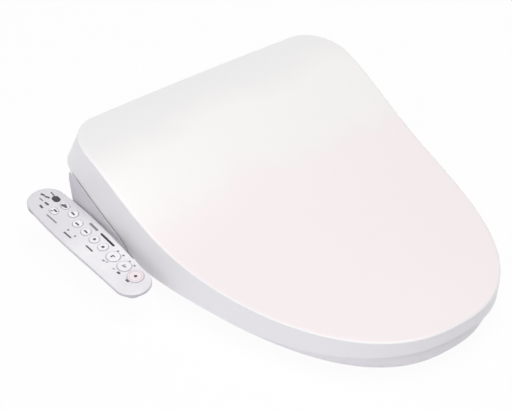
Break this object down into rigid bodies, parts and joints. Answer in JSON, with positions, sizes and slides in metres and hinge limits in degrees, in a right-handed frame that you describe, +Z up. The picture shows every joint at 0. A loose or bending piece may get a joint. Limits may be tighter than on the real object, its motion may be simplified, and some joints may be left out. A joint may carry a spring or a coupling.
{
  "type": "electric bidet seat",
  "caption": "Warm-water washing toilet seat: sloping full lid, heated seat ring, rear housing with sliding wash nozzles, and a side arm of press keys.",
  "frame": {"origin": "underside of the fixing mat, midway between the two fixing bolts; z = 0 is the toilet's rim plane", "axes": "+Z up, -Y towards the seat's front, the control arm at -X (the seated user's right hand)"},
  "size_m": [0.4904, 0.5003, 0.1339],
  "materials": {
    "white_case": "satin moulded white plastic",
    "shade_case": "fine-grained moulded white plastic",
    "panel_white": "satin moulded white plastic, printed with plain dots and bars",
    "key_white": "satin moulded white plastic",
    "dark_window": "polished near-black plastic",
    "pale_rubber": "moulded pale rubber",
    "grey_rubber": "moulded grey rubber",
    "heater_foil": "bare foil",
    "grey_plastic": "moulded grey engineering plastic",
    "black_plastic": "moulded black engineering plastic",
    "steel": "turned steel",
    "nozzle_white": "smooth moulded white plastic",
    "tank_plastic": "moulded natural plastic",
    "hose": "extruded silicone hose",
    "board": "coated circuit board"
  },
  "bodies": {
    "housing": {"housing_lower_case": "shade_case", "housing_upper_cover": "white_case", "seat_damper": "grey_plastic", "lid_damper": "grey_plastic", "hinge_pin_left": "steel", "hinge_pin_right": "steel", "cable_gland": "grey_plastic", "water_inlet": "grey_plastic", "nozzle_guide": "grey_plastic", "rear_wash_motor": "steel", "front_wash_motor": "steel", "warm_water_tank": "tank_plastic", "inlet_valve": "black_plastic", "wash_pump": "grey_plastic", "inlet_hose": "hose", "supply_hose": "hose", "wash_hose": "hose", "control_board": "board", "fan_case": "black_plastic", "carbon_cartridge": "tank_plastic", "base_plate": "grey_plastic", "rubber_mat": "grey_rubber", "bolt_clamp_left": "shade_case", "bolt_clamp_right": "shade_case", "arm_upper_casing": "panel_white", "arm_lower_casing": "shade_case", "arm_board": "board", "sensor_lens": "dark_window", "level_window": "dark_window", "energy_window": "dark_window"},
    "seat": {"seat_upper_shell": "white_case", "seat_lower_cover": "white_case", "seat_heater": "heater_foil", "seat_buffer_front_left": "grey_rubber", "seat_buffer_front_right": "grey_rubber", "seat_buffer_rear_left": "grey_rubber", "seat_buffer_rear_right": "grey_rubber"},
    "lid": {"lid": "white_case", "lid_buffer_front_left": "pale_rubber", "lid_buffer_front_right": "pale_rubber", "lid_buffer_rear_left": "pale_rubber", "lid_buffer_rear_right": "pale_rubber"},
    "rear_nozzle": {"rear_wash_nozzle": "nozzle_white"},
    "front_nozzle": {"front_wash_nozzle": "nozzle_white"},
    "rear_pinion": {"rear_wash_pinion": "grey_plastic"},
    "front_pinion": {"front_wash_pinion": "grey_plastic"},
    "impeller": {"fan_impeller": "grey_plastic"},
    "release": {"release_button": "shade_case"},
    "key_power_cap": {"key_power": "key_white"},
    "key_lamp_cap": {"key_lamp": "key_white"},
    "key_rear_wash_cap": {"key_rear_wash": "key_white"},
    "key_soft_wash_cap": {"key_soft_wash": "key_white"},
    "key_front_wash_cap": {"key_front_wash": "key_white"},
    "key_pressure_down_cap": {"key_pressure_down": "key_white"},
    "key_pressure_up_cap": {"key_pressure_up": "key_white"},
    "key_bidet_cap": {"key_bidet": "key_white"},
    "key_rear_cap": {"key_rear": "key_white"},
    "key_stop_cap": {"key_stop": "key_white"}
  },
  "joints": [
    {"name": "seat_lift", "type": "hinge", "parent": "housing", "child": "seat", "pos_m": [0, 0, 0.072], "axis": [-1, 0, 0], "range_deg": [0, 98]},
    {"name": "lid_lift", "type": "hinge", "parent": "seat", "child": "lid", "pos_m": [0, 0, 0.072], "axis": [1, 0, 0], "range_deg": [-98, 0]},
    {"name": "rear_nozzle_slide", "type": "slide", "parent": "housing", "child": "rear_nozzle", "axis": [0, -0.788, -0.6157], "range_m": [0, 0.08]},
    {"name": "front_nozzle_slide", "type": "slide", "parent": "housing", "child": "front_nozzle", "axis": [0, -0.788, -0.6157], "range_m": [0, 0.08]},
    {"name": "rear_pinion_turn", "type": "hinge", "parent": "housing", "child": "rear_pinion", "pos_m": [0.0085, -0.05858, 0.04965], "axis": [1, 0, 0], "range_deg": [-660, 0]},
    {"name": "front_pinion_turn", "type": "hinge", "parent": "housing", "child": "front_pinion", "pos_m": [-0.0085, -0.05858, 0.04965], "axis": [1, 0, 0], "range_deg": [-660, 0]},
    {"name": "impeller_spin", "type": "hinge", "parent": "housing", "child": "impeller", "pos_m": [-0.041, -0.02, 0.0225], "axis": [0, 0, 1], "continuous": true},
    {"name": "release_press", "type": "slide", "parent": "housing", "child": "release", "axis": [-1, 0, 0], "range_m": [0, 0.003], "stiffness_N_per_m": 400, "springref_m": -0.002},
    {"name": "key_power_press", "type": "slide", "parent": "housing", "child": "key_power_cap", "axis": [0.0349, 0.061, -0.9975], "range_m": [0, 0.0008], "stiffness_N_per_m": 250, "springref_m": -0.0012},
    {"name": "key_lamp_press", "type": "slide", "parent": "housing", "child": "key_lamp_cap", "axis": [0.0349, 0.061, -0.9975], "range_m": [0, 0.0008], "stiffness_N_per_m": 250, "springref_m": -0.0012},
    {"name": "key_rear_wash_press", "type": "slide", "parent": "housing", "child": "key_rear_wash_cap", "axis": [0.0349, 0.061, -0.9975], "range_m": [0, 0.0008], "stiffness_N_per_m": 250, "springref_m": -0.0012},
    {"name": "key_soft_wash_press", "type": "slide", "parent": "housing", "child": "key_soft_wash_cap", "axis": [0.0349, 0.061, -0.9975], "range_m": [0, 0.0008], "stiffness_N_per_m": 250, "springref_m": -0.0012},
    {"name": "key_front_wash_press", "type": "slide", "parent": "housing", "child": "key_front_wash_cap", "axis": [0.0349, 0.061, -0.9975], "range_m": [0, 0.0008], "stiffness_N_per_m": 250, "springref_m": -0.0012},
    {"name": "key_pressure_down_press", "type": "slide", "parent": "housing", "child": "key_pressure_down_cap", "axis": [0.0349, 0.061, -0.9975], "range_m": [0, 0.0008], "stiffness_N_per_m": 250, "springref_m": -0.0012},
    {"name": "key_pressure_up_press", "type": "slide", "parent": "housing", "child": "key_pressure_up_cap", "axis": [0.0349, 0.061, -0.9975], "range_m": [0, 0.0008], "stiffness_N_per_m": 250, "springref_m": -0.0012},
    {"name": "key_bidet_press", "type": "slide", "parent": "housing", "child": "key_bidet_cap", "axis": [0.0349, 0.061, -0.9975], "range_m": [0, 0.0008], "stiffness_N_per_m": 250, "springref_m": -0.0012},
    {"name": "key_rear_press", "type": "slide", "parent": "housing", "child": "key_rear_cap", "axis": [0.0349, 0.061, -0.9975], "range_m": [0, 0.0008], "stiffness_N_per_m": 250, "springref_m": -0.0012},
    {"name": "key_stop_press", "type": "slide", "parent": "housing", "child": "key_stop_cap", "axis": [0.0349, 0.061, -0.9975], "range_m": [0, 0.0008], "stiffness_N_per_m": 250, "springref_m": -0.0012}
  ],
  "couplings": [
    {"joint": "rear_pinion_turn", "follows": "rear_nozzle_slide", "rad_per_m": -142.86},
    {"joint": "front_pinion_turn", "follows": "front_nozzle_slide", "rad_per_m": -142.86}
  ]
}
